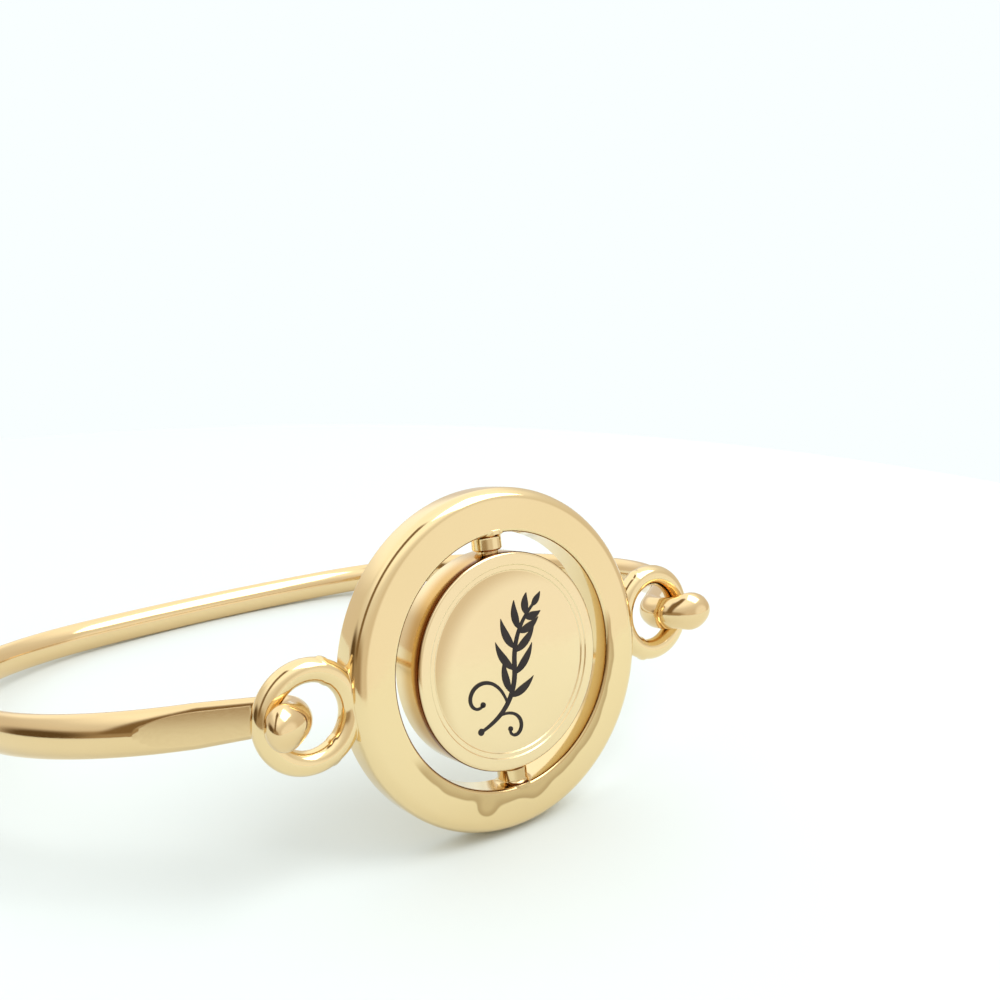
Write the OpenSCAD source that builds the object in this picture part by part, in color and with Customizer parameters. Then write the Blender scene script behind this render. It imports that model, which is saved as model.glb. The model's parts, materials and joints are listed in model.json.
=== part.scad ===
// Charm bangle: an oval metal band whose two ends hook through the eyes of a round charm,
// with a disc that turns on two pins inside the charm's ring.
// The bangle lies on its side: the charm's ring and the back of the band rest on z = 0.

/* [Charm ring] */
// Outer diameter of the ring
ring_d = 25; // [23:0.5:29]
// Diameter of the hole that the disc turns in
ring_hole_d = 18.6; // [18:0.1:20]
// Thickness of the ring, front to back
ring_t = 2.7; // [2.3:0.1:3.2]
// Rounding of the ring's front outer edge
ring_front_round = 1; // [0.3:0.05:1.2]
// Rounding of the ring's other three edges
ring_edge_round = 0.25; // [0.1:0.05:0.4]

/* [Charm eyes] */
// Wire diameter of each eye
eye_wire_d = 1.65; // [1.5:0.05:1.7]
// Outer diameter of each eye
eye_d = 7.7; // [7.6:0.05:9]
// How far each eye's wire is sunk into the ring's edge
eye_sink = 1.12; // [0.9:0.02:1.5]

/* [Disc] */
// Diameter of the disc
disc_d = 15.8; // [15:0.1:16.4]
// Thickness of the disc
disc_t = 3.2; // [2.6:0.1:3.6]
// Rounding of the disc's two edges
disc_round = 0.25; // [0.1:0.05:0.5]
// Width of the rim round the disc's front face
disc_rim_w = 1.1; // [0.8:0.1:2]
// How far the front face lies below its rim
disc_dish = 0.15; // [0.05:0.05:0.3]
// Width of the slope from the rim down to the face
disc_slope_w = 0.4; // [0.2:0.1:1]
// Angle that the disc is turned on its pins at rest
disc_turn = 1.2; // [-10:0.2:10]

/* [Axle pins] */
// Diameter of the pin's collar, between ring and disc
collar_d = 2.2; // [2:0.1:2.5]
// Gap between the collar and the disc's edge
collar_gap = 0.15; // [0.1:0.05:0.3]
// Diameter of the journal that the disc turns on
journal_d = 1.6; // [1.2:0.1:1.6]
// Depth of the journal inside the disc
journal_len = 2; // [1.5:0.1:4]
// Running clearance round the journal, on the radius
journal_clear = 0.05; // [0.02:0.01:0.1]
// Space past the journal's end
bore_spare = 0.3; // [0.1:0.1:0.6]

/* [Band] */
// Width of the band's oval, along its centreline
oval_w = 60.6; // [56:0.2:70]
// Distance from the charm's middle back to the rear of the band
oval_back = 51.5; // [46:0.5:60]
// Distance from the charm's middle back to the band's widest place
oval_waist = 25.4; // [23:0.2:29]
// Radius of the band's rear arc
rear_r = 83; // [70:1:120]
// Radius of the band's side arcs
side_r = 78; // [65:1:100]
// Radius of the band's rear corners
rear_corner_r = 19.6; // [17:0.2:22]
// Radius of the band's front corners
front_corner_r = 20.6; // [18:0.2:22]
// Height of the band
band_h = 3; // [2.7:0.1:3.4]
// Thickness of the band
band_t = 2; // [1.8:0.1:2.2]
// Radius of the band's top and bottom edges
band_edge_r = 0.6; // [0.4:0.05:0.7]

/* [Hooks] */
// Height of the metal in the hook
hook_h = 2.6; // [2.3:0.1:2.7]
// Gap between the hook's inside and the eye's wire
hook_gap = 0.25; // [0.2:0.05:0.4]
// Straight length past the bend, before the round tip
hook_lip = 0.1; // [0.1:0.1:1]
// Length of the right hook's round tip
tip_len = 1.3; // [0.8:0.1:2]
// Length of the left hook's round tip, which is filed shorter
left_tip_len = 0.6; // [0.5:0.1:2]
// Height of the metal where it is fullest, next to the tip
end_h = 3.05; // [2.7:0.05:3.2]
// Length of the bend over which the metal grows to that height
end_grow = 1.2; // [0.8:0.1:2]
// Length of the bend that is rounded off with the tip
end_round = 0.6; // [0.2:0.1:1]
// Slope of the band's straight ends to the oval's width
arm_slope = 33; // [28:1:36]
// Depth of the flat on the outside of each straight end
flat_cut = 0.35; // [0.1:0.05:0.5]
// Distance from the bend to the shoulder where the flat starts
flat_start = 0.8; // [0.6:0.1:2.5]

/* [Pose at rest] */
// Angle that the charm is turned, seen from above
charm_turn = 4; // [-6:0.5:6]
// Angle that the charm is rolled, seen from the front
charm_roll = 1; // [-1.2:0.1:1.2]
// Angle that the charm is rocked on its hooks
charm_rock = 1.9; // [-4:0.1:4]

/* [Hidden] */

GOLD = [0.93, 0.83, 0.6];
ARC_FN = 360;
WIRE_FN = 48;
CROWN_STEPS = 4;
EDGE_STEPS = 4;
ROUND_STEPS = 5;
REAR_STEPS = 6;
CORNER_STEPS = 12;
SIDE_STEPS = 8;
ARM_STEPS = 2;
BEND_STEPS = 18;
TIP_STEPS = 5;
TIP_END = 85;
PITCH_STEPS = 12;

// Charm
ring_r = ring_d / 2;
hole_r = ring_hole_d / 2;
wire_r = eye_wire_d / 2;
eye_r = eye_d / 2 - wire_r;
eye_x = ring_r + eye_r + wire_r - eye_sink;
// Middle of each eye's outermost wire, which the hook goes round
grip_x = eye_x + eye_r;
disc_r = disc_d / 2;
collar_end = disc_r + collar_gap;
pin_root = (ring_r + hole_r) / 2;
bore_d = journal_d + 2 * journal_clear;

// Hooks and the straight ends behind them
bend_r = wire_r + hook_gap + band_t / 2;
side_centre = oval_w / 2 - side_r;

// The band's section has two shallow crowned faces and two small round edges that meet smoothly.
edge_z = band_h / 2 - band_edge_r;
crown_r = (pow(band_t / 2, 2) + pow(edge_z, 2) - pow(band_edge_r, 2)) / (band_t - 2 * band_edge_r);

// Angle at which the crown ends and the round edge begins
crown_end = asin(edge_z / (crown_r - band_edge_r));

function arc_points(centre, r, from, to, steps) =
    [for (i = [0:steps]) centre + r * along(from + (to - from) * i / steps)];

// Half of the section: up the outer face and over the top edge, without the last point
crown = arc_points([band_t / 2 - crown_r, 0], crown_r, -crown_end, crown_end, CROWN_STEPS);
edge = arc_points([0, edge_z], band_edge_r, crown_end, 180 - crown_end, EDGE_STEPS);
half_section = concat(crown, [for (i = [1:EDGE_STEPS - 1]) edge[i]]);

// Outline of the section, thickness along x and height along y
section = concat(half_section, [for (p = half_section) -p]);

// How far the section reaches along its edge and along its face when it is tilted by an angle
function edge_reach(tilt) = band_edge_r + edge_z * cos(tilt);
function face_reach(tilt) = crown_r - (crown_r - band_t / 2) * cos(tilt);

// Both halves of the band are worked out for an end that points to +x. side is 1 for the
// right end and -1 for the left, and the left one is mirrored afterwards.
function grip(side) = grip_x * [cos(charm_turn) * cos(charm_roll), -side * sin(charm_turn)];

// Unit vector along an angle
function along(a) = [cos(a), sin(a)];

// Place where the straight end runs into the hook's bend
function arm_start(side) = grip(side) + bend_r * along(90 + arm_slope);

// Length of the straight end, so that the front corner also meets the side arc smoothly
function arm_len(side) =
    let (
        from_side = arm_start(side) + front_corner_r * along(90 + arm_slope) - [side_centre, oval_waist],
        run = from_side * along(arm_slope),
        reach = side_r - front_corner_r
    )
    -run + sqrt(run * run - from_side * from_side + reach * reach);

function front_corner(side) =
    arm_start(side) + arm_len(side) * along(arm_slope) + front_corner_r * along(90 + arm_slope);

// Angle at which the front corner meets the side arc
function front_meet(side) =
    let (v = front_corner(side) - [side_centre, oval_waist])
    atan2(v[1], v[0]);

// Centre of a rear corner that meets the rear arc and the side arc smoothly
rear_centre = [0, oval_back - rear_r];
waist_centre = [side_centre, oval_waist];
centres_apart = norm(waist_centre - rear_centre);
to_waist = (waist_centre - rear_centre) / centres_apart;
rear_reach = rear_r - rear_corner_r;
side_reach = side_r - rear_corner_r;
along_centres = (pow(rear_reach, 2) - pow(side_reach, 2) + pow(centres_apart, 2)) / (2 * centres_apart);
off_centres = sqrt(pow(rear_reach, 2) - pow(along_centres, 2));
rear_corner = rear_centre + along_centres * to_waist + off_centres * [to_waist[1], -to_waist[0]];
rear_meet = atan2(rear_corner[1] - rear_centre[1], rear_corner[0] - rear_centre[0]);
waist_meet = atan2(rear_corner[1] - waist_centre[1], rear_corner[0] - waist_centre[0]);

// Rest: the whole bangle is pitched until the ring's lower back edge and the rear of the
// band touch the same plane.
// Upward part of the ring's axis at a pitch
function axis_up(pitch) =
    let (
        back = sin(charm_rock) * sin(charm_roll) * sin(charm_turn) + cos(charm_rock) * cos(charm_turn),
        up = sin(charm_rock) * cos(charm_roll)
    )
    up * cos(pitch) - back * sin(pitch);

// Depth of the ring's lowest point below the charm's middle
function ring_drop(pitch) =
    let (up = axis_up(pitch))
    (ring_r - ring_edge_round) * sqrt(1 - up * up)
        + (ring_t / 2 - ring_edge_round) * abs(up)
        + ring_edge_round;

function pitch_after(steps) =
    steps == 0 ? 0 :
    let (p = pitch_after(steps - 1))
    asin((ring_drop(p) - edge_reach(p)) / oval_back);

pitch = pitch_after(PITCH_STEPS);
rest_height = ring_drop(pitch);

// The origin is below the middle of the box that the bangle fills
front_y = (grip(1)[1] - bend_r) * cos(pitch) - face_reach(pitch);
rear_y = oval_back * cos(pitch) + face_reach(pitch);
middle_y = (front_y + rear_y) / 2;

// Frame of the band: its centreline lies in the plane z = 0, with the charm's middle at the origin
module in_band_frame() {
    translate([0, -middle_y, rest_height])
        rotate([-pitch, 0, 0])
            children();
}

// Frame of the charm: the ring's axis is y, the axle pins stand along z
module in_charm_frame() {
    in_band_frame()
        rotate([0, 0, -charm_turn])
            rotate([0, -charm_roll, 0])
                rotate([charm_rock, 0, 0])
                    children();
}

// A station of the band is [x, y, angle of the outer face, share of thickness, height].
function station(place, facing, height = band_h, share = 1) = [place[0], place[1], facing, share, height];

// Stations along an arc whose outer face looks away from its centre
function arc_stations(centre, r, from, to, steps) =
    [for (i = [1:steps]) let (a = from + (to - from) * i / steps) station(centre + r * along(a), a)];

// The straight end, tapered from the band's height to the hook's
function arm_stations(side) =
    [
        for (i = [1:ARM_STEPS])
            let (
                left = 1 - i / ARM_STEPS,
                place = arm_start(side) + left * arm_len(side) * along(arm_slope)
            )
            station(place, arm_slope - 90, hook_h + left * (band_h - hook_h))
    ];

function tip_length(side) = side > 0 ? tip_len : left_tip_len;

// Height of the hook's metal at a distance from the end of its tip, measured along the hook
function metal_h(to_end, side) =
    let (
        rounded = tip_length(side) + hook_lip + end_round,
        grown = min(1, max(0, 1 - (to_end - rounded) / end_grow)),
        full_h = hook_h + (end_h - hook_h) * grown * grown * (3 - 2 * grown),
        from_full = max(0, 1 - to_end / rounded)
    )
    full_h * sqrt(1 - from_full * from_full);

// The bend round the eye's wire, whose outer face looks at the wire
function bend_stations(side) =
    let (
        bend = 180 - arm_slope - side * charm_turn,
        past_bend = hook_lip + tip_length(side)
    )
    [
        for (i = [1:BEND_STEPS])
            let (
                a = 90 + arm_slope + bend * i / BEND_STEPS,
                left = bend_r * (bend * PI / 180) * (1 - i / BEND_STEPS)
            )
            station(grip(side) + bend_r * along(a), a - 180, metal_h(left + past_bend, side))
    ];

// The lip and the round tip, along the charm's front
function tip_stations(side) =
    let (
        a = 270 - side * charm_turn,
        end = grip(side) + bend_r * along(a),
        length = tip_length(side)
    )
    [
        for (i = [0:TIP_STEPS])
            let (
                turn = TIP_END * i / TIP_STEPS,
                place = end + (hook_lip + length * sin(turn)) * along(a + 90)
            )
            station(place, a - 180, metal_h(length * (1 - sin(turn)), side), cos(turn))
    ];

// Half of the band from the middle of the rear to the tip of the hook
function half_stations(side) =
    concat(
        arc_stations(rear_centre, rear_r, 90, rear_meet, REAR_STEPS),
        arc_stations(rear_corner, rear_corner_r, rear_meet, waist_meet, CORNER_STEPS),
        arc_stations(waist_centre, side_r, waist_meet, front_meet(side), SIDE_STEPS),
        arc_stations(front_corner(side), front_corner_r, front_meet(side), arm_slope - 90, CORNER_STEPS),
        arm_stations(side),
        bend_stations(side),
        tip_stations(side)
    );

function mirrored(list) =
    [for (i = [len(list) - 1:-1:0]) let (s = list[i]) [-s[0], s[1], 180 - s[2], s[3], s[4]]];

// Corner points of the section at one station
function ring_points(s) =
    [
        for (p = section)
            let (across = s[3] * p[0])
            [s[0] + across * cos(s[2]), s[1] + across * sin(s[2]), p[1] * s[4] / band_h]
    ];

// Solid swept through a list of stations
module swept(stations) {
    n = len(section);
    last = len(stations) - 1;
    points = [for (s = stations) each ring_points(s)];
    walls = [
        for (k = [0:last - 1])
            for (i = [0:n - 1])
                let (
                    a = k * n + i,
                    b = k * n + (i + 1) % n
                )
                each [[a, b + n, b], [a, a + n, b + n]]
    ];
    first_cap = [for (i = [0:n - 1]) i];
    last_cap = [for (i = [n - 1:-1:0]) last * n + i];
    polyhedron(points, concat([first_cap], walls, [last_cap]));
}

// Flat on the outside of the straight end, with a shoulder next to the hook
module flat_cutter(side) {
    reach = 2 * front_corner_r;
    translate(arm_start(side))
        rotate([0, 0, arm_slope])
            translate([flat_start, flat_cut - band_t / 2 - reach, -band_h])
                cube([reach, reach, 2 * band_h]);
}

module hoop() {
    color(GOLD)
        in_band_frame()
            difference() {
                swept(concat(
                    mirrored(half_stations(-1)),
                    [station([0, oval_back], 90)],
                    half_stations(1)
                ));
                flat_cutter(1);
                mirror([1, 0, 0])
                    flat_cutter(-1);
            }
}

// Quarter round for a corner of a turned profile
function corner(x, y, r, from) = arc_points([x, y], r, from, from + 90, ROUND_STEPS);

// Profile of the charm's ring: x is the radius, y runs to the front
module ring_profile() {
    e = ring_edge_round;
    f = ring_front_round;
    half_t = ring_t / 2;
    polygon(concat(
        corner(ring_r - e, e - half_t, e, -90),
        corner(ring_r - f, half_t - f, f, 0),
        corner(hole_r + e, half_t - e, e, 90),
        corner(hole_r + e, e - half_t, e, 180)
    ));
}

// Profile of the disc, with a rim and a slope down to the face in front
module disc_profile() {
    r = disc_round;
    half_t = disc_t / 2;
    rim_in = disc_r - disc_rim_w;
    polygon(concat(
        [[0, -half_t]],
        corner(disc_r - r, r - half_t, r, -90),
        corner(disc_r - r, half_t - r, r, 0),
        [
            [rim_in, half_t],
            [rim_in - disc_slope_w, half_t - disc_dish],
            [0, half_t - disc_dish]
        ]
    ));
}

// A profile turned about the ring's axis
module turned() {
    rotate([90, 0, 0])
        rotate_extrude($fn = ARC_FN)
            children();
}

// Wire eye at the side of the ring
module eye(side) {
    translate([side * eye_x, 0, 0])
        turned()
            translate([eye_r, 0])
                circle(r = wire_r, $fn = WIRE_FN);
}

// Axle pin that stands on the inside of the ring: collar in the gap, journal in the disc
module axle_pin() {
    translate([0, 0, collar_end])
        cylinder(d = collar_d, h = pin_root - collar_end, $fn = WIRE_FN);
    translate([0, 0, disc_r - journal_len])
        cylinder(d = journal_d, h = pin_root - disc_r + journal_len, $fn = WIRE_FN);
}

module charm_frame() {
    color(GOLD)
        in_charm_frame() {
            turned()
                ring_profile();
            for (side = [-1, 1])
                eye(side);
            for (up = [0, 1])
                mirror([0, 0, up])
                    axle_pin();
        }
}

module disc() {
    bore_len = journal_len + bore_spare;
    color(GOLD)
        in_charm_frame()
            rotate([0, 0, disc_turn])
                difference() {
                    turned()
                        disc_profile();
                    for (up = [0, 1])
                        mirror([0, 0, up])
                            translate([0, 0, disc_r - bore_len])
                                cylinder(d = bore_d, h = 2 * bore_len, $fn = WIRE_FN);
                }
}

hoop();
charm_frame();
disc();
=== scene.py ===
import json
import math

import bmesh
import bpy
from mathutils import Matrix, Vector


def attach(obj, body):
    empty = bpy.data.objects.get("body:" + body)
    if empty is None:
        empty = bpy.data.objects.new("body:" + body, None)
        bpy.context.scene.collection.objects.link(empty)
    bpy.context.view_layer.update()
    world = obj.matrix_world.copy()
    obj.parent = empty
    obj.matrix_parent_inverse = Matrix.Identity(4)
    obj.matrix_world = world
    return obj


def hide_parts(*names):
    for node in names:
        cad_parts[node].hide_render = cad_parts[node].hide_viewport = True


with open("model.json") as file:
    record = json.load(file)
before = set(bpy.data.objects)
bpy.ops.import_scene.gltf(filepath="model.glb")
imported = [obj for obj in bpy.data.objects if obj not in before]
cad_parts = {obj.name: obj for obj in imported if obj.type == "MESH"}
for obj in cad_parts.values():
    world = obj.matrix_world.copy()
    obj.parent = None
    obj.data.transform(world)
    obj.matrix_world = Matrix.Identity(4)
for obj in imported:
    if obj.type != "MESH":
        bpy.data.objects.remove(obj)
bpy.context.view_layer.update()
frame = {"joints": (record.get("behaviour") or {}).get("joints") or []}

MM = 0.001

# Charm ring
RING_R = 12.5 * MM
HOLE_R = 9.3 * MM
RING_T = 2.7 * MM
RING_FRONT_ROUND = 1 * MM
RING_EDGE_ROUND = 0.25 * MM

# Charm eyes
WIRE_R = 0.825 * MM
EYE_R = 3.85 * MM - WIRE_R
EYE_SINK = 1.12 * MM
EYE_X = RING_R + EYE_R + WIRE_R - EYE_SINK
GRIP_X = EYE_X + EYE_R

# Beads of solder between the eyes and the ring
SOLDER_R = 0.95 * MM
SOLDER_SHAPE = (0.75, 0.8, 1.15, 1)
SOLDER_LEAN = math.radians(62)
SOLDER_TILT = math.radians(20)

# Disc, with the radius and depth in mm of each loop of its face from the middle out
DISC_R = 7.9 * MM
DISC_T = 3.2 * MM
DISC_ROUND = 0.25 * MM
FACE_DEPTH = 0.1 * MM
FACE_PROFILE = (
    (5.2, 0.1), (5.8, 0.108), (6.2, 0.122), (6.56, 0.15), (6.62, 0.075), (6.93, 0.075), (6.99, 0)
)
DISC_TURN = math.radians(1.2)

# Axle pins
COLLAR_R = 1.1 * MM
COLLAR_GAP = 0.15 * MM
COLLAR_FLARE = 0.3 * MM
FLARE_LAP = 0.05 * MM
JOURNAL_R = 0.8 * MM
JOURNAL_LEN = 2 * MM
PIN_CHAMFER = 0.12 * MM

# Band
OVAL_HALF_W = 30.3 * MM
OVAL_BACK = 51.5 * MM
OVAL_WAIST = 25.4 * MM
REAR_R = 83 * MM
SIDE_R = 78 * MM
REAR_CORNER_R = 19.6 * MM
FRONT_CORNER_R = 20.6 * MM
BAND_H = 3 * MM
BAND_T = 2 * MM
BAND_EDGE_R = 0.6 * MM

# Hooks
HOOK_H = 2.6 * MM
BEND_R = WIRE_R + 0.25 * MM + BAND_T / 2
HOOK_LIP = 0.1 * MM
RIGHT_TIP_LEN = 1.3 * MM
LEFT_TIP_LEN = 0.6 * MM
END_H = 3.05 * MM
END_GROW = 1.2 * MM
END_ROUND = 0.6 * MM
TIP_POINT = 1e-3
ARM_SLOPE = math.radians(33)
FLAT_CUT = 0.35 * MM
FLAT_START = 0.8 * MM
SHOULDER_W = 0.08 * MM

# Pose of the charm against the band
CHARM_TURN = math.radians(4)
CHARM_ROLL = math.radians(1)
CHARM_ROCK = math.radians(1.9)

# Enamel sprig on the disc's face, in mm: each half of the stem has its start, its pull and its end
STEM_LOW = ((-3.3, -4.3), (0.0, -3.5), (0.2, -0.4))
STEM_HIGH = ((0.2, -0.4), (0.35, 2.2), (2.5, 3.7))
STEM_STEPS = 20
STEM_W = 0.2
STEM_SWELL = 0.2
STEM_BALL = 0.26
# Leaf pairs: point of the stem and length
LEAF_PAIRS = ((13, 2.6), (19, 2.8), (25, 2.6), (31, 2.2), (36, 1.6))
LEAF_LEAN = 0.95
LEAF_W = 0.6
LEAF_CURL = 0.3
LEAF_PULL = 0.55
LEAF_FULLEST = 0.8
RIGHT_LEAF_SHARE = 0.95
# Top leaf: length, width and curl
TOP_LEAF = (1.3, 0.5, 0.15)
# Tendrils: point of the stem, lean, reach, turns and width
TENDRILS = ((10, 0.95, 6.2, 0.85, 0.28), (6, -0.4, 4.2, -0.85, 0.26))
# How a tendril's turning, its pace and its width change: value at its root and what is added on the way
TENDRIL_TURNING = (0.35, 1.3)
TENDRIL_PACE = (1.35, -0.7)
TENDRIL_WIDTH = (0.55, 0.45)
TENDRIL_BALL = 0.72
SPRIG_T = 0.1 * MM
SPRIG_PROUD = 0.35
STROKE_STEP = -0.002 * MM

# Steps round the shapes
SECTION_SIDES = 64
REAR_STEPS = 16
REAR_CORNER_STEPS = 40
SIDE_STEPS = 16
FRONT_CORNER_STEPS = 48
ARM_STEPS = 16
BEND_STEPS = 48
TIP_STEPS = 16
TURNED_SIDES = 256
ROUND_STEPS = 8
WIRE_SIDES = 40
EYE_STEPS = 128
PIN_SIDES = 48
FLARE_STEPS = 6
SOLDER_SIDES = 32
LEAF_STEPS = 14
TENDRIL_STEPS = 44
BALL_SIDES = 24
TINY = 1e-7


def axes_frame(origin, x, z):
    """Matrix of a frame from its origin and its x and z axes."""
    x = Vector(x).normalized()
    z = Vector(z).normalized()
    y = z.cross(x)
    turned = Matrix((x, y, z)).transposed().to_4x4()
    return Matrix.Translation(origin) @ turned


joints = {joint["name"]: joint for joint in frame["joints"]}
rock = joints["charm_rock"]
spin = joints["disc_spin"]
CHARM = axes_frame(rock["pos_m"], rock["axis"], spin["axis"])
DISC = CHARM @ Matrix.Rotation(DISC_TURN, 4, "Z")
BAND = CHARM @ (
    Matrix.Rotation(-CHARM_TURN, 4, "Z")
    @ Matrix.Rotation(-CHARM_ROLL, 4, "Y")
    @ Matrix.Rotation(CHARM_ROCK, 4, "X")
).inverted()


# Mesh helpers
def finish_piece(bm, name, place, body, node, material, sharp=30):
    """Turns a bmesh made in its own frame into a piece that rides on a body and may replace a node."""
    bmesh.ops.remove_doubles(bm, verts=bm.verts, dist=TINY)
    bmesh.ops.recalc_face_normals(bm, faces=bm.faces)
    mesh = bpy.data.meshes.new(name)
    bm.to_mesh(mesh)
    bm.free()
    mesh.transform(place)
    mesh.shade_smooth()
    mesh.set_sharp_from_angle(angle=math.radians(sharp))
    mesh.materials.append(material)
    piece = bpy.data.objects.new(name, mesh)
    bpy.context.scene.collection.objects.link(piece)
    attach(piece, body)
    if node:
        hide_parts(node)
    return piece


def verts_of(geom):
    return [g for g in geom if isinstance(g, bmesh.types.BMVert)]


def edges_of(geom):
    return [g for g in geom if isinstance(g, bmesh.types.BMEdge)]


def edges_at(verts):
    return list(dict.fromkeys(e for v in verts for e in v.link_edges))


def verts_at(loop):
    return list(dict.fromkeys(v for e in loop for v in e.verts))


def whole(faces):
    """Faces together with their edges and corners."""
    edges = dict.fromkeys(e for f in faces for e in f.edges)
    corners = dict.fromkeys(v for f in faces for v in f.verts)
    return [*faces, *edges, *corners]


def swing(bm, loop, centre, angle, steps):
    """Sweeps a loop of edges round an upright axis and returns the far loop."""
    geom = bmesh.ops.spin(
        bm, geom=loop, cent=centre, axis=(0, 0, 1), angle=angle, steps=steps, use_duplicate=False
    )["geom_last"]
    return edges_of(geom)


def draw_out(bm, loop, step):
    """Extrudes a loop of edges along a step and returns the far loop."""
    geom = bmesh.ops.extrude_edge_only(bm, edges=loop)["geom"]
    bmesh.ops.translate(bm, verts=verts_of(geom), vec=step)
    return edges_of(geom)


def squeeze(loop, centre, heading, across, upright):
    """Scales a loop of the band about a point: across its thickness and in height."""
    side = Vector((-heading.y, heading.x, 0))
    for v in verts_at(loop):
        off = v.co - centre
        v.co += side * off.dot(side) * (across - 1)
        v.co.z = centre.z + off.z * upright


# The band
def section_point(a):
    """Point of the band's section whose outward normal is at angle a: two crowns and two round edges."""
    edge_z = BAND_H / 2 - BAND_EDGE_R
    crown_r = ((BAND_T / 2) ** 2 + edge_z ** 2 - BAND_EDGE_R ** 2) / (BAND_T - 2 * BAND_EDGE_R)
    crown_end = math.asin(edge_z / (crown_r - BAND_EDGE_R))
    if abs(math.sin(a)) <= math.sin(crown_end):
        middle = math.copysign(crown_r - BAND_T / 2, -math.cos(a))
        return middle + crown_r * math.cos(a), crown_r * math.sin(a)
    edge = math.copysign(edge_z, math.sin(a))
    return BAND_EDGE_R * math.cos(a), edge + BAND_EDGE_R * math.sin(a)


def along(a):
    """Level unit vector at an angle from the x axis."""
    return Vector((math.cos(a), math.sin(a), 0))


def facing(a, b):
    """Angle of the line from point a to point b, seen from above."""
    return math.atan2((b - a).y, (b - a).x)


def oval_plan(side):
    """Centres, angles and lengths of half of the oval, drawn for +x, with the hook of one side."""
    grip_x = GRIP_X * math.cos(CHARM_TURN) * math.cos(CHARM_ROLL)
    grip = Vector((grip_x, -side * GRIP_X * math.sin(CHARM_TURN), 0))
    waist = Vector((OVAL_HALF_W - SIDE_R, OVAL_WAIST, 0))
    rear = Vector((0, OVAL_BACK - REAR_R, 0))
    apart = (waist - rear).length
    towards_waist = (waist - rear).normalized()
    from_rear = REAR_R - REAR_CORNER_R
    from_waist = SIDE_R - REAR_CORNER_R
    run = (from_rear ** 2 - from_waist ** 2 + apart ** 2) / (2 * apart)
    off = math.sqrt(from_rear ** 2 - run ** 2)
    rear_corner = rear + run * towards_waist + off * Vector((towards_waist.y, -towards_waist.x, 0))
    inward = along(math.pi / 2 + ARM_SLOPE)
    arm_start = grip + BEND_R * inward
    from_side = arm_start + FRONT_CORNER_R * inward - waist
    run = from_side.dot(along(ARM_SLOPE))
    arm_len = -run + math.sqrt(run ** 2 - from_side.length_squared + (SIDE_R - FRONT_CORNER_R) ** 2)
    front_corner = arm_start + arm_len * along(ARM_SLOPE) + FRONT_CORNER_R * inward
    return {
        "grip": grip,
        "rear": rear,
        "rear_corner": rear_corner,
        "waist": waist,
        "front_corner": front_corner,
        "arm_start": arm_start,
        "arm_len": arm_len,
        "rear_meet": facing(rear, rear_corner),
        "waist_meet": facing(waist, rear_corner),
        "front_meet": facing(waist, front_corner),
        "bend": math.pi - ARM_SLOPE - side * CHARM_TURN,
        "tip_len": RIGHT_TIP_LEN if side > 0 else LEFT_TIP_LEN,
    }


def metal_height(to_end, tip_len):
    """Height of the hook's metal at a distance from the end of its tip, measured along the hook."""
    rounded = tip_len + HOOK_LIP + END_ROUND
    grown = min(1, max(0, 1 - (to_end - rounded) / END_GROW))
    full = HOOK_H + (END_H - HOOK_H) * grown * grown * (3 - 2 * grown)
    from_full = max(0, 1 - to_end / rounded)
    return full * math.sqrt(max(1 - from_full ** 2, TINY))


def sweep_oval(bm, plan):
    """Draws the band's section round half of the oval, from the middle of the back to the arm."""
    ring = bmesh.ops.create_circle(bm, cap_ends=False, radius=1, segments=SECTION_SIDES)["verts"]
    for v in ring:
        across, up = section_point(math.atan2(v.co.y, v.co.x))
        v.co = Vector((0, OVAL_BACK + across, up))
    loop = edges_at(ring)
    loop = swing(bm, loop, plan["rear"], plan["rear_meet"] - math.pi / 2, REAR_STEPS)
    loop = swing(bm, loop, plan["rear_corner"], plan["waist_meet"] - plan["rear_meet"], REAR_CORNER_STEPS)
    loop = swing(bm, loop, plan["waist"], plan["front_meet"] - plan["waist_meet"], SIDE_STEPS)
    turn = ARM_SLOPE - math.pi / 2 - plan["front_meet"]
    return swing(bm, loop, plan["front_corner"], turn, FRONT_CORNER_STEPS)


def sweep_arm(bm, loop, plan, heading):
    """Draws the section along the straight end, while its height goes down to the hook's."""
    centre = plan["arm_start"] - heading * plan["arm_len"]
    step = heading * plan["arm_len"] / ARM_STEPS
    for i in range(ARM_STEPS):
        loop = draw_out(bm, loop, step)
        centre = centre + step
        before = BAND_H + (HOOK_H - BAND_H) * i / ARM_STEPS
        after = BAND_H + (HOOK_H - BAND_H) * (i + 1) / ARM_STEPS
        squeeze(loop, centre, heading, 1, after / before)
    return loop


def sweep_hook(bm, loop, plan, heading):
    """Draws the section round the hook and over its tip, with the height that the metal has there."""
    tip_len = plan["tip_len"]
    height = HOOK_H
    for i in range(BEND_STEPS):
        loop = swing(bm, loop, plan["grip"], plan["bend"] / BEND_STEPS, 1)
        left = BEND_R * plan["bend"] * (1 - (i + 1) / BEND_STEPS)
        after = metal_height(left + HOOK_LIP + tip_len, tip_len)
        squeeze(loop, plan["grip"], heading, 1, after / height)
        height = after
    end_angle = math.pi / 2 + ARM_SLOPE + plan["bend"]
    heading = along(end_angle + math.pi / 2)
    centre = plan["grip"] + BEND_R * along(end_angle)
    angles = [math.pi / 2 * i / TIP_STEPS for i in range(TIP_STEPS + 1)]
    reach = [-HOOK_LIP] + [tip_len * math.sin(a) for a in angles]
    share = [1] + [max(math.cos(a), TIP_POINT) for a in angles]
    for i in range(1, len(reach)):
        step = heading * (reach[i] - reach[i - 1])
        loop = draw_out(bm, loop, step)
        centre = centre + step
        after = metal_height(tip_len - reach[i], tip_len)
        squeeze(loop, centre, heading, share[i] / share[i - 1], after / height)
        height = after
    bmesh.ops.holes_fill(bm, edges=loop, sides=0)


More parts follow.
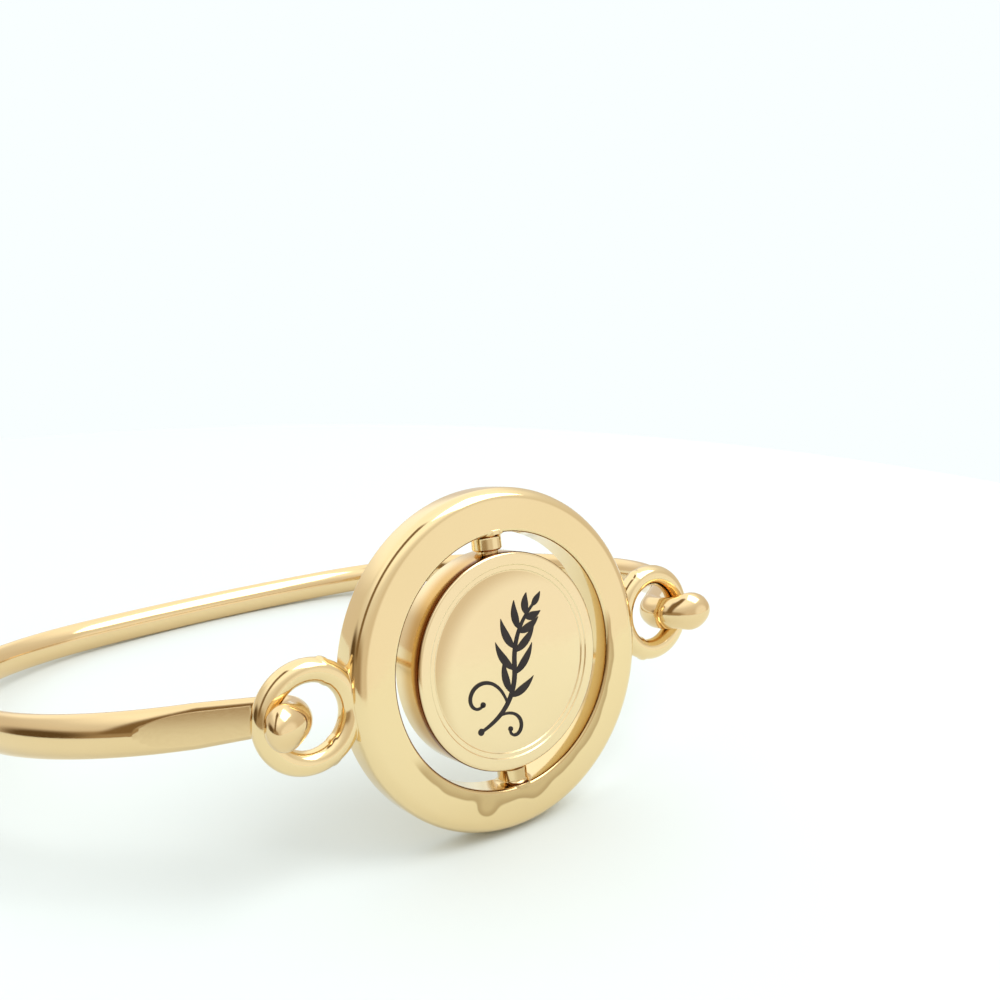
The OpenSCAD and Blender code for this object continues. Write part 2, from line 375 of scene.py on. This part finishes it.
def file_flat(bm, plan):
    """Files the flat on the outside of the straight end, up to its shoulder next to the hook."""
    outward = along(ARM_SLOPE - math.pi / 2)
    ahead = along(ARM_SLOPE)
    start = plan["arm_start"]
    level = start + outward * (BAND_T / 2 - FLAT_CUT)

    def measured(face):
        off = face.calc_center_median() - start
        return off.dot(ahead), off.dot(outward), off.length

    for cut in (FLAT_START, FLAT_START + SHOULDER_W):
        near = []
        for face in bm.faces:
            reach, _, away = measured(face)
            if abs(reach - cut) < BAND_T / 2 and away < 4 * BAND_T:
                near.append(face)
        place = start + ahead * cut
        bmesh.ops.bisect_plane(bm, geom=whole(near), dist=TINY, plane_co=place, plane_no=ahead)
    filed = []
    for face in bm.faces:
        reach, out, _ = measured(face)
        if FLAT_START + SHOULDER_W / 2 < reach < FRONT_CORNER_R and 0 < out < 1.2 * BAND_T:
            filed.append(face)
    bmesh.ops.bisect_plane(bm, geom=whole(filed), dist=TINY, plane_co=level, plane_no=outward)
    limit = FLAT_START + SHOULDER_W - TINY
    for v in bm.verts:
        over = (v.co - level).dot(outward)
        reach = (v.co - start).dot(ahead)
        if 0 < over < BAND_T and limit < reach < FRONT_CORNER_R:
            v.co -= outward * over


def make_hoop(material):
    """The band with its two hooks, drawn as two halves and joined at the middle of the back."""
    halves = []
    for side in (1, -1):
        bm = bmesh.new()
        plan = oval_plan(side)
        heading = -along(ARM_SLOPE)
        loop = sweep_arm(bm, sweep_oval(bm, plan), plan, heading)
        sweep_hook(bm, loop, plan, heading)
        file_flat(bm, plan)
        if side == -1:
            bmesh.ops.scale(bm, verts=bm.verts, vec=(-1, 1, 1))
        half = bpy.data.meshes.new("band_half")
        bm.to_mesh(half)
        bm.free()
        halves.append(half)
    bm = bmesh.new()
    for half in halves:
        bm.from_mesh(half)
        bpy.data.meshes.remove(half)
    return finish_piece(bm, "band_and_hooks", BAND, "band", "hoop", material, sharp=25)


# The charm's ring, eyes and pins
def turn_profile(bm, profile, cap):
    """Turns a profile of radii and depths about the ring's own axis; returns its loops of edges."""
    radius, depth = profile[0]
    place = Matrix.Translation((0, depth, 0)) @ Matrix.Rotation(math.pi / 2, 4, "X")
    first = bmesh.ops.create_circle(
        bm, cap_ends=cap, radius=radius, segments=TURNED_SIDES, matrix=place
    )["verts"]
    loops = [edges_at(first)]
    for (r, y), (next_r, next_y) in zip(profile, profile[1:]):
        loop = draw_out(bm, loops[-1], (0, next_y - y, 0))
        bmesh.ops.scale(bm, verts=verts_at(loop), vec=(next_r / r, 1, next_r / r))
        loops.append(loop)
    return loops


def round_corner(bm, radius, depth, size):
    """Rounds the turned edge that has this radius and depth."""
    def there(v):
        return abs(v.co.xz.length - radius) < TINY and abs(v.co.y - depth) < TINY

    loop = [e for e in bm.edges if there(e.verts[0]) and there(e.verts[1])]
    bmesh.ops.bevel(
        bm, geom=loop, offset=size, offset_type="OFFSET", segments=ROUND_STEPS, profile=0.5,
        affect="EDGES", material=-1
    )


def make_ring(bm):
    half_t = RING_T / 2
    corners = [(RING_R, -half_t), (RING_R, half_t), (HOLE_R, half_t), (HOLE_R, -half_t)]
    turn_profile(bm, corners + corners[:1], False)
    bmesh.ops.remove_doubles(bm, verts=bm.verts, dist=TINY)
    for (radius, depth), size in zip(corners, (RING_FRONT_ROUND,) + (RING_EDGE_ROUND,) * 3):
        round_corner(bm, radius, depth, size)


def make_eye(bm, side):
    """Round wire eye at one side of the ring."""
    wire = bmesh.ops.create_circle(
        bm, cap_ends=False, radius=WIRE_R, segments=WIRE_SIDES,
        matrix=Matrix.Translation((side * EYE_X + EYE_R, 0, 0))
    )["verts"]
    bmesh.ops.spin(
        bm, geom=wire + edges_at(wire), cent=(side * EYE_X, 0, 0), axis=(0, 1, 0), angle=2 * math.pi,
        steps=EYE_STEPS, use_merge=True, use_duplicate=False
    )


def make_pin(bm, up):
    """Axle pin: flared solder foot on the ring, collar in the gap, journal in the disc."""
    neck = HOLE_R - FLARE_LAP
    profile = [(HOLE_R + RING_EDGE_ROUND, COLLAR_R + COLLAR_FLARE)]
    for i in range(FLARE_STEPS + 1):
        rise = math.sin(math.pi / 2 * i / FLARE_STEPS)
        profile.append((neck - COLLAR_FLARE * rise, COLLAR_R + COLLAR_FLARE * (1 - rise) ** 2))
    shoulder = DISC_R + COLLAR_GAP
    journal_end = DISC_R - JOURNAL_LEN
    profile += [
        (shoulder + PIN_CHAMFER, COLLAR_R),
        (shoulder, COLLAR_R - PIN_CHAMFER),
        (shoulder, JOURNAL_R),
        (journal_end + PIN_CHAMFER, JOURNAL_R),
        (journal_end, JOURNAL_R - PIN_CHAMFER),
    ]
    foot, foot_r = profile[0]
    place = Matrix.Translation((0, 0, up * foot))
    ring = bmesh.ops.create_circle(
        bm, cap_ends=True, radius=foot_r, segments=PIN_SIDES, matrix=place
    )["verts"]
    loop = edges_at(ring)
    for (z, r), (next_z, next_r) in zip(profile, profile[1:]):
        loop = draw_out(bm, loop, (0, 0, up * (next_z - z)))
        bmesh.ops.scale(bm, verts=verts_at(loop), vec=(next_r / r, next_r / r, 1))
    bmesh.ops.holes_fill(bm, edges=loop, sides=0)


def make_solder(bm, side, up):
    """Bead of solder that runs into the corner between an eye and the ring's wall."""
    spot = Vector((
        side * (EYE_X - math.cos(SOLDER_LEAN) * EYE_R), 0, up * math.sin(SOLDER_LEAN) * EYE_R
    ))
    tilt = Matrix.Rotation(side * up * SOLDER_TILT, 4, "Y")
    bmesh.ops.create_uvsphere(
        bm, u_segments=SOLDER_SIDES, v_segments=SOLDER_SIDES // 2, radius=SOLDER_R,
        matrix=Matrix.Translation(spot) @ tilt @ Matrix.Diagonal(SOLDER_SHAPE)
    )


def make_charm(material):
    bm = bmesh.new()
    make_ring(bm)
    for side in (-1, 1):
        make_eye(bm, side)
        make_pin(bm, side)
        make_solder(bm, side, -1)
        make_solder(bm, side, 1)
    return finish_piece(bm, "charm_ring_and_eyes", CHARM, "charm", "charm_frame", material)


# The disc
def make_disc(material):
    """Disc with a faintly domed face, two fine steps round it and a flat rim."""
    bm = bmesh.new()
    half_t = DISC_T / 2
    face = [(radius * MM, depth * MM - half_t) for radius, depth in FACE_PROFILE]
    loops = turn_profile(bm, face + [(DISC_R, -half_t), (DISC_R, half_t)], True)
    bmesh.ops.holes_fill(bm, edges=loops[-1], sides=0)
    for depth in (-half_t, half_t):
        round_corner(bm, DISC_R, depth, DISC_ROUND)
    return finish_piece(bm, "turning_disc", DISC, "spinner", "disc", material)


# The disc's enamel sprig
def bend_path(start, pull, end, steps):
    """Points of a curve from start to end, pulled towards a third point, as x and z on the disc."""
    points = []
    for i in range(steps + 1):
        t = i / steps
        points.append(Vector(start) * (1 - t) ** 2 + Vector(pull) * 2 * t * (1 - t) + Vector(end) * t ** 2)
    return points


def heading_at(path, i):
    step = path[min(i + 1, len(path) - 1)] - path[max(i - 1, 0)]
    return math.atan2(step.y, step.x)


def pen_stroke(bm, path, widths, lift):
    """Flat stroke along a path on the disc's face, with the pen's width at each point."""
    def station(i):
        across = along(heading_at(path, i) + math.pi / 2).xy * max(widths[i], TINY) / 2
        return [Vector((spot.x, lift, spot.y)) for spot in (path[i] + across, path[i] - across)]

    left, right = (bm.verts.new(spot) for spot in station(0))
    edge = bm.edges.new((left, right))
    for i in range(1, len(path)):
        geom = bmesh.ops.extrude_edge_only(bm, edges=[edge])["geom"]
        edge = edges_of(geom)[0]
        left, right = sorted(verts_of(geom), key=lambda v: (v.co - left.co).length)
        left.co, right.co = station(i)


def ball_end(bm, spot, radius, lift):
    place = Matrix.Translation((spot.x, lift, spot.y)) @ Matrix.Rotation(math.pi / 2, 4, "X")
    bmesh.ops.create_circle(bm, cap_ends=True, radius=radius, segments=BALL_SIDES, matrix=place)


def swell(i, steps):
    """Share of a leaf's or stem's full width at a step: fullest a little before the middle."""
    return math.sin(math.pi * (i / steps) ** LEAF_FULLEST)


def leaf(bm, root, heading, length, width, curl, lift):
    """Slender leaf that curls as it leaves the stem."""
    pull = root + length * LEAF_PULL * along(heading).xy
    tip = root + length * along(heading + curl).xy
    path = bend_path(root, pull, tip, LEAF_STEPS)
    pen_stroke(bm, path, [width * swell(i, LEAF_STEPS) for i in range(LEAF_STEPS + 1)], lift)


def tendril(bm, root, heading, reach, turns, width, lift):
    """Fine shoot that curls up, ever tighter, into a ball end."""
    def changing(start_and_rise, share):
        return start_and_rise[0] + start_and_rise[1] * share

    path = [Vector(root)]
    for i in range(TENDRIL_STEPS):
        t = i / TENDRIL_STEPS
        heading += 2 * math.pi * turns / TENDRIL_STEPS * changing(TENDRIL_TURNING, t)
        path.append(path[-1] + reach / TENDRIL_STEPS * changing(TENDRIL_PACE, t) * along(heading).xy)
    widths = []
    for i in range(TENDRIL_STEPS + 1):
        widths.append(width * changing(TENDRIL_WIDTH, math.sin(math.pi * i / TENDRIL_STEPS)))
    pen_stroke(bm, path, widths, lift)
    ball_end(bm, path[-1], width * TENDRIL_BALL, lift)


def make_inlay(material):
    """Sprig of enamel leaves that lies in the middle of the disc's face."""
    bm = bmesh.new()
    stem = bend_path(*STEM_LOW, STEM_STEPS) + bend_path(*STEM_HIGH, STEM_STEPS)[1:]
    stem = [spot * MM for spot in stem]
    last = len(stem) - 1
    pen_stroke(bm, stem, [(STEM_W + STEM_SWELL * swell(i, last)) * MM for i in range(last + 1)], 0)
    ball_end(bm, stem[0], STEM_BALL * MM, -STROKE_STEP)
    layer = 1
    for at, length in LEAF_PAIRS:
        heading = heading_at(stem, at)
        leaf(bm, stem[at], heading + LEAF_LEAN, length * MM, LEAF_W * MM, -LEAF_CURL, STROKE_STEP * layer)
        leaf(bm, stem[at - 1], heading - LEAF_LEAN, length * RIGHT_LEAF_SHARE * MM, LEAF_W * MM, LEAF_CURL,
             STROKE_STEP * (layer + 1))
        layer += 2
    length, width, curl = TOP_LEAF
    leaf(bm, stem[last - 1], heading_at(stem, last), length * MM, width * MM, curl, STROKE_STEP)
    for at, lean, reach, turns, width in TENDRILS:
        layer += 1
        tendril(bm, stem[at], heading_at(stem, at) + lean, reach * MM, turns, width * MM, STROKE_STEP * layer)
    backs = bmesh.ops.extrude_face_region(bm, geom=bm.faces[:])["geom"]
    bmesh.ops.translate(bm, verts=verts_of(backs), vec=(0, SPRIG_T, 0))
    front = FACE_DEPTH - DISC_T / 2 - SPRIG_T * SPRIG_PROUD
    bmesh.ops.translate(bm, verts=bm.verts, vec=(0, front, 0))
    return finish_piece(bm, "disc_enamel_sprig", DISC, "spinner", None, material)


# Node helpers
def node_material(name):
    material = bpy.data.materials.new(name)
    material.use_nodes = True
    return material, material.node_tree, material.node_tree.nodes["Principled BSDF"]


def noise(tree, vector, scale, detail):
    grain = tree.nodes.new("ShaderNodeTexNoise")
    grain.inputs["Scale"].default_value = scale
    grain.inputs["Detail"].default_value = detail
    tree.links.new(vector, grain.inputs["Vector"])
    return grain.outputs["Fac"]


def spread(tree, value, low, high):
    """A value from 0 to 1, spread from low to high."""
    wide = tree.nodes.new("ShaderNodeMapRange")
    wide.inputs["To Min"].default_value = low
    wide.inputs["To Max"].default_value = high
    tree.links.new(value, wide.inputs["Value"])
    return wide.outputs["Result"]


def smooth_range(tree, value, start, end):
    """Smooth step of a value: 0 at start, 1 at end."""
    fade = tree.nodes.new("ShaderNodeMapRange")
    fade.interpolation_type = "SMOOTHSTEP"
    fade.inputs["From Min"].default_value = start
    fade.inputs["From Max"].default_value = end
    tree.links.new(value, fade.inputs["Value"])
    return fade.outputs["Result"]


def worked_out(tree, operation, *values):
    """Result of a sum on numbers and linked values."""
    step = tree.nodes.new("ShaderNodeMath")
    step.operation = operation
    for socket, value in zip(step.inputs, values):
        if isinstance(value, (int, float)):
            socket.default_value = value
        else:
            tree.links.new(value, socket)
    return step.outputs[0]


def together(tree, first, *others):
    """Product of masks."""
    for other in others:
        first = worked_out(tree, "MULTIPLY", first, other)
    return first


def vector_step(tree, operation, vector, other=(0, 0, 0)):
    step = tree.nodes.new("ShaderNodeVectorMath")
    step.operation = operation
    step.inputs[1].default_value = other
    tree.links.new(vector, step.inputs[0])
    return step.outputs["Vector" if operation == "MULTIPLY" else "Value"]


def blend(tree, amount, first, second):
    """Blend from the first colour, plain or linked, to the second, plain."""
    mixed = tree.nodes.new("ShaderNodeMix")
    mixed.data_type = "RGBA"
    if isinstance(first, tuple):
        mixed.inputs["A"].default_value = (*first, 1)
    else:
        tree.links.new(first, mixed.inputs["A"])
    mixed.inputs["B"].default_value = (*second, 1)
    tree.links.new(amount, mixed.inputs["Factor"])
    return mixed.outputs["Result"]


def bump_node(tree, height, strength, distance):
    bump = tree.nodes.new("ShaderNodeBump")
    bump.inputs["Strength"].default_value = strength
    bump.inputs["Distance"].default_value = distance
    tree.links.new(height, bump.inputs["Height"])
    return bump


# Materials
CLOUD_SCALE = 140
HAIRLINE_TILT = (0.4, 0.7, 0.3)
HAIRLINE_SCALE = (300, 9000, 9000)
POLISH_LOW = 0.7
POLISH_HIGH = 1.5
WORN_EDGE_R = 0.09 * MM
WAVE_SCALE = 260
WAVE_STRENGTH = 0.1
WAVE_DEPTH = 0.03 * MM
ENAMEL_SCALE = 900
ENAMEL_BLACK = (0.012, 0.010, 0.010)
ENAMEL_THIN = (0.040, 0.030, 0.026)
ENAMEL_GLOSS = (0.22, 0.42)
ENAMEL_STRENGTH = 0.25
ENAMEL_DEPTH = 0.02 * MM


def polished_gold(name, light, deep, roughness, seed):
    """Polished pale gold plating: cloudy tone, polishing hairlines, soft waviness and worn edges."""
    material, tree, shader = node_material(name)
    links = tree.links
    shader.inputs["Metallic"].default_value = 1
    where = tree.nodes.new("ShaderNodeTexCoord").outputs["Object"]
    links.new(blend(tree, noise(tree, where, CLOUD_SCALE, 3), light, deep), shader.inputs["Base Color"])
    lines = tree.nodes.new("ShaderNodeMapping")
    lines.inputs["Rotation"].default_value = Vector(HAIRLINE_TILT) + Vector((seed, 0, 0))
    lines.inputs["Scale"].default_value = HAIRLINE_SCALE
    links.new(where, lines.inputs["Vector"])
    hair = noise(tree, lines.outputs["Vector"], 1, 4)
    uneven = spread(tree, hair, roughness * POLISH_LOW, roughness * POLISH_HIGH)
    links.new(uneven, shader.inputs["Roughness"])
    worn = tree.nodes.new("ShaderNodeBevel")
    worn.samples = 6
    worn.inputs["Radius"].default_value = WORN_EDGE_R
    wave = bump_node(tree, noise(tree, where, WAVE_SCALE, 1), WAVE_STRENGTH, WAVE_DEPTH)
    links.new(worn.outputs["Normal"], wave.inputs["Normal"])
    links.new(wave.outputs["Normal"], shader.inputs["Normal"])
    return material


def black_enamel():
    """Glossy black enamel, faintly brown where it is thin, with a softly uneven surface."""
    material, tree, shader = node_material("black_enamel")
    links = tree.links
    shader.inputs["Specular IOR Level"].default_value = 0.2
    where = tree.nodes.new("ShaderNodeTexCoord").outputs["Object"]
    pool = noise(tree, where, ENAMEL_SCALE, 3)
    links.new(blend(tree, pool, ENAMEL_BLACK, ENAMEL_THIN), shader.inputs["Base Color"])
    links.new(spread(tree, pool, *ENAMEL_GLOSS), shader.inputs["Roughness"])
    uneven = bump_node(tree, pool, ENAMEL_STRENGTH, ENAMEL_DEPTH)
    links.new(uneven.outputs["Normal"], shader.inputs["Normal"])
    return material


# Painted reflection: a tan crescent in the disc's dish, where the dished face mirrors darker surroundings;
# middle of the clear round, its edge and the crescent's full tone
CLEAR_MIDDLE = (1.4 * MM, 0, -1.4 * MM)
CLEAR_R = 6.6 * MM
CRESCENT_R = 8.3 * MM
DISH_R = 6.5 * MM
DISH_FRONT = -1.3 * MM
DISH_REFLECTION_COLOUR = (0.60, 0.42, 0.21)

# Painted reflection on the ring's face at its hole: rounds that the patch runs together from, as across, up
# and radius in mm
HOLE_REFLECTION_ROUNDS = ((0, -0.4, 9.85), (-3.3, -9.7, 0.95), (1.2, -9.4, 1.1))
HOLE_REFLECTION_JOIN = 1.2 * MM
HOLE_REFLECTION_RIPPLE = 0.7 * MM
HOLE_REFLECTION_RIPPLE_SCALE = 380
HOLE_REFLECTION_BORDER = 0.35 * MM
HOLE_REFLECTION_LOW_SIDE = (-0.35, 0, 1)
HOLE_REFLECTION_LOW = (-1.4 * MM, -3.2 * MM)
HOLE_REFLECTION_FRONT = -1 * MM
HOLE_REFLECTION_COLOUR = (0.56, 0.39, 0.18)
HOLE_REFLECTION_RIM_COLOUR = (0.38, 0.24, 0.10)


def in_frame(tree, place):
    """A point in a piece's own frame: flat on its face, its depth, and its distance from the y axis."""
    where = tree.nodes.new("ShaderNodeTexCoord")
    turned = tree.nodes.new("ShaderNodeMapping")
    turned.vector_type = "TEXTURE"
    turned.inputs["Location"].default_value = place.to_translation()
    turned.inputs["Rotation"].default_value = place.to_euler()
    tree.links.new(where.outputs["Object"], turned.inputs["Vector"])
    flat = vector_step(tree, "MULTIPLY", turned.outputs["Vector"], (1, 0, 1))
    reach = vector_step(tree, "LENGTH", flat)
    depth = tree.nodes.new("ShaderNodeSeparateXYZ")
    tree.links.new(turned.outputs["Vector"], depth.inputs["Vector"])
    return flat, depth.outputs["Y"], reach


def tint_painted_light(material, mask, colour, strength):
    """Tints the piece's colour where the mask is 1; used here to paint shade and reflections into the
    plating.
    """
    tree = material.node_tree
    base = tree.nodes["Principled BSDF"].inputs["Base Color"]
    before = base.links[0].from_socket
    tree.links.new(blend(tree, spread(tree, mask, 0, strength), before, colour), base)


def paint_disc_wall_shade(material, place, depths, fades, colour, strength):
    """Painted shade: brown darkening on the disc's wall in the gap inside the ring, between two depths in mm.
    """
    tree = material.node_tree
    _, depth, reach = in_frame(tree, place)
    wall = smooth_range(tree, reach, DISC_R - 0.2 * MM, DISC_R - 0.1 * MM)
    begun = smooth_range(tree, depth, (depths[0] - fades[0]) * MM, depths[0] * MM)
    over = smooth_range(tree, depth, (depths[1] + fades[1]) * MM, depths[1] * MM)
    tint_painted_light(material, together(tree, wall, begun, over), colour, strength)


def paint_dish_reflection(material, place):
    """Painted reflection: tan tone in a soft crescent along the dish's upper left edge, standing in for
    darker surroundings mirrored by the dished face.
    """
    tree = material.node_tree
    flat, depth, reach = in_frame(tree, place)
    away = vector_step(tree, "DISTANCE", flat, CLEAR_MIDDLE)
    crescent = smooth_range(tree, away, CLEAR_R, CRESCENT_R)
    dish = smooth_range(tree, reach, DISH_R + 0.05 * MM, DISH_R - 0.05 * MM)
    front = smooth_range(tree, depth, DISH_FRONT + 0.1 * MM, DISH_FRONT - 0.1 * MM)
    tint_painted_light(material, together(tree, crescent, dish, front), DISH_REFLECTION_COLOUR, 0.85)


def paint_hole_edge_reflection(material, place):
    """Painted reflection: a tan patch on the ring's face along the lower edge of its hole, with an uneven,
    darker border.
    """
    tree = material.node_tree
    flat, depth, _ = in_frame(tree, place)
    outline = None
    for across, up, radius in HOLE_REFLECTION_ROUNDS:
        away = vector_step(tree, "DISTANCE", flat, (across * MM, 0, up * MM))
        past = worked_out(tree, "SUBTRACT", away, radius * MM)
        outline = worked_out(tree, "SMOOTH_MIN", outline, past, HOLE_REFLECTION_JOIN) if outline else past
    ripple = noise(tree, flat, HOLE_REFLECTION_RIPPLE_SCALE, 1)
    uneven = worked_out(tree, "MULTIPLY_ADD", ripple, HOLE_REFLECTION_RIPPLE, outline)
    low = smooth_range(tree, vector_step(tree, "DOT_PRODUCT", flat, HOLE_REFLECTION_LOW_SIDE), *HOLE_REFLECTION_LOW)
    front = smooth_range(tree, depth, HOLE_REFLECTION_FRONT + 0.1 * MM, HOLE_REFLECTION_FRONT - 0.1 * MM)
    inside = smooth_range(tree, uneven, HOLE_REFLECTION_BORDER + 0.05 * MM, HOLE_REFLECTION_BORDER - 0.1 * MM)
    mask = together(tree, inside, low, front)
    tint_painted_light(material, mask, HOLE_REFLECTION_COLOUR, 0.8)
    rim = smooth_range(tree, uneven, HOLE_REFLECTION_BORDER - 0.6 * MM, HOLE_REFLECTION_BORDER - 0.05 * MM)
    tint_painted_light(material, together(tree, mask, rim), HOLE_REFLECTION_RIM_COLOUR, 0.45)


BAND_GOLD = polished_gold("band_pale_gold", (0.81, 0.61, 0.34), (0.78, 0.575, 0.30), 0.09, 0.0)
CHARM_GOLD = polished_gold("charm_pale_gold", (0.845, 0.66, 0.37), (0.81, 0.62, 0.33), 0.08, 0.5)
DISC_GOLD = polished_gold("disc_pale_gold", (0.865, 0.69, 0.415), (0.835, 0.655, 0.375), 0.10, 1.0)
# Painted reflection: tan crescent in the disc's dish
paint_dish_reflection(DISC_GOLD, DISC)
# Painted shade on the disc's wall in the gap inside the ring: a tan-brown band and a darker brown band
paint_disc_wall_shade(DISC_GOLD, DISC, (-1.4, -0.4), (0.1, 1.6), (0.60, 0.33, 0.07), 0.8)
paint_disc_wall_shade(DISC_GOLD, DISC, (-1.45, -1.2), (0.1, 0.45), (0.17, 0.045, 0.002), 1.0)
# Painted reflection: tan patch with a darker border along the ring's hole
paint_hole_edge_reflection(CHARM_GOLD, CHARM)

make_hoop(BAND_GOLD)
make_charm(CHARM_GOLD)
make_disc(DISC_GOLD)
make_inlay(black_enamel())

# Studio: the floor, one large softbox, and a pale room that the camera doesn't see directly
FLOOR_R = 0.15
FLOOR_SIDES = 128
FLOOR_ROUGHNESS = 0.9
FLOOR_COLOUR = (0.755, 0.815, 0.815, 1)
SOFTBOX_AZIMUTH = 138
SOFTBOX_ELEVATION = 57
SOFTBOX_AWAY = 0.6
SOFTBOX_SIZE = (0.31, 0.38)
SOFTBOX_BRIGHTNESS = 3.4
SOFTBOX_AIM = Vector((0, 0, 0.01))
BACKDROP = (0.95, 1.0, 1.0, 1)
# Colour of the room at each height of the mirrored direction
ROOM_STOPS = (
    (0.0, (0.80, 0.74, 0.66)),
    (0.3, (0.82, 0.78, 0.72)),
    (0.55, (0.92, 0.92, 0.90)),
    (0.8, (1.35, 1.38, 1.38)),
)
# Lighter and darker places: azimuth, elevation, flattening, outer and inner radius, colour
ROOM_PATCHES = (
    (10, 45, 1.0, 0.75, 0.45, (1.3, 1.32, 1.3)),
    (148, 3, 1.0, 0.5, 0.25, (1.08, 1.1, 1.1)),
    (-105, 1, 2.6, 1.0, 0.55, (0.42, 0.33, 0.22)),
    (-70, 3, 1.8, 0.55, 0.2, (0.13, 0.085, 0.04)),
)
# Dark upright strip in the room: its azimuth and the softness of its sides, its front and its foot
STRIP_AZIMUTH = -105
STRIP_SIDES = (0.22, 0.1)
STRIP_AHEAD = (0.05, 0.15)
STRIP_FOOT = (0.06, 0.2)
STRIP_COLOUR = (0.24, 0.16, 0.08)

# Camera in the charm's own frame
CAMERA_PLACE = Vector((-40.0, -59.31, 20.0)) * MM
CAMERA_AHEAD = Vector((0.57037, 0.81292, -0.11766))
CAMERA_RIGHT = Vector((0.80621, -0.58146, -0.10921))
CAMERA_SENSOR_W = 36
CAMERA_LENS = 36.23
CAMERA_NEAR = 0.001


def make_floor():
    bm = bmesh.new()
    bmesh.ops.create_circle(bm, cap_ends=True, radius=FLOOR_R, segments=FLOOR_SIDES)
    mesh = bpy.data.meshes.new("studio_floor")
    bm.to_mesh(mesh)
    bm.free()
    material, _, shader = node_material("studio_floor_white")
    shader.inputs["Base Color"].default_value = FLOOR_COLOUR
    shader.inputs["Roughness"].default_value = FLOOR_ROUGHNESS
    mesh.materials.append(material)
    floor = bpy.data.objects.new("studio_floor", mesh)
    bpy.context.scene.collection.objects.link(floor)


def towards(azimuth, elevation):
    """Unit vector of a direction in degrees: azimuth 0 looks along +Y and 90 along +X."""
    a, e = math.radians(azimuth), math.radians(elevation)
    return Vector((math.sin(a) * math.cos(e), math.cos(a) * math.cos(e), math.sin(e)))


def make_softbox():
    """Rectangular light that faces the bangle, with the brightness of its face."""
    light = bpy.data.lights.new("front_softbox", "AREA")
    light.shape = "RECTANGLE"
    light.size, light.size_y = SOFTBOX_SIZE
    light.energy = math.pi * SOFTBOX_SIZE[0] * SOFTBOX_SIZE[1] * SOFTBOX_BRIGHTNESS
    lamp = bpy.data.objects.new("front_softbox", light)
    bpy.context.scene.collection.objects.link(lamp)
    heading = towards(SOFTBOX_AZIMUTH, SOFTBOX_ELEVATION)
    lamp.location = SOFTBOX_AIM + heading * SOFTBOX_AWAY
    lamp.rotation_mode = "QUATERNION"
    lamp.rotation_quaternion = (-heading).to_track_quat("-Z", "Y")


def room_colour(tree):
    """Colour of the mirrored room: brighter overhead, with lighter and darker places and the strip."""
    where = tree.nodes.new("ShaderNodeTexCoord").outputs["Generated"]
    apart = tree.nodes.new("ShaderNodeSeparateXYZ")
    tree.links.new(where, apart.inputs["Vector"])
    height = apart.outputs["Z"]
    ramp = tree.nodes.new("ShaderNodeValToRGB")
    tree.links.new(height, ramp.inputs["Fac"])
    stops = ramp.color_ramp.elements
    stops.remove(stops[1])
    stops[0].position = ROOM_STOPS[0][0]
    stops[0].color = (*ROOM_STOPS[0][1], 1)
    for place, colour in ROOM_STOPS[1:]:
        stops.new(place).color = (*colour, 1)
    room = ramp.outputs["Color"]
    for azimuth, elevation, squash, outer, inner, colour in ROOM_PATCHES:
        centre = towards(azimuth, elevation)
        flattened = vector_step(tree, "MULTIPLY", where, (1, 1, squash))
        away = vector_step(tree, "DISTANCE", flattened, (centre.x, centre.y, centre.z * squash))
        room = blend(tree, smooth_range(tree, away, outer, inner), room, colour)
    across = vector_step(tree, "DOT_PRODUCT", where, towards(STRIP_AZIMUTH + 90, 0))
    ahead = vector_step(tree, "DOT_PRODUCT", where, towards(STRIP_AZIMUTH, 0))
    sides = smooth_range(tree, worked_out(tree, "ABSOLUTE", across), *STRIP_SIDES)
    faced = smooth_range(tree, ahead, *STRIP_AHEAD)
    raised = smooth_range(tree, height, *STRIP_FOOT)
    return blend(tree, together(tree, sides, faced, raised), room, STRIP_COLOUR)


def make_studio_air():
    """White air behind the bangle for the camera, and the pale room for all else."""
    world = bpy.data.worlds.new("studio_air")
    bpy.context.scene.world = world
    world.use_nodes = True
    tree = world.node_tree
    backdrop = tree.nodes["Background"]
    backdrop.inputs["Color"].default_value = BACKDROP
    lit = tree.nodes.new("ShaderNodeBackground")
    tree.links.new(room_colour(tree), lit.inputs["Color"])
    seen = tree.nodes.new("ShaderNodeLightPath")
    choose = tree.nodes.new("ShaderNodeMixShader")
    tree.links.new(seen.outputs["Is Camera Ray"], choose.inputs["Fac"])
    tree.links.new(lit.outputs["Background"], choose.inputs[1])
    tree.links.new(backdrop.outputs["Background"], choose.inputs[2])
    tree.links.new(choose.outputs["Shader"], tree.nodes["World Output"].inputs["Surface"])


def make_camera():
    """Camera where the photograph's perspective puts it."""
    back = -CAMERA_AHEAD.normalized()
    up = back.cross(CAMERA_RIGHT).normalized()
    right = up.cross(back)
    turned = Matrix((right, up, back)).transposed().to_4x4()
    data = bpy.data.cameras.new("camera")
    data.sensor_width = CAMERA_SENSOR_W
    data.lens = CAMERA_LENS
    data.clip_start = CAMERA_NEAR
    camera = bpy.data.objects.new("camera", data)
    bpy.context.scene.collection.objects.link(camera)
    camera.matrix_world = CHARM @ Matrix.Translation(CAMERA_PLACE) @ turned
    bpy.context.scene.camera = camera


make_studio_air()
make_floor()
make_softbox()
make_camera()

bpy.context.scene.view_settings.view_transform = "Standard"
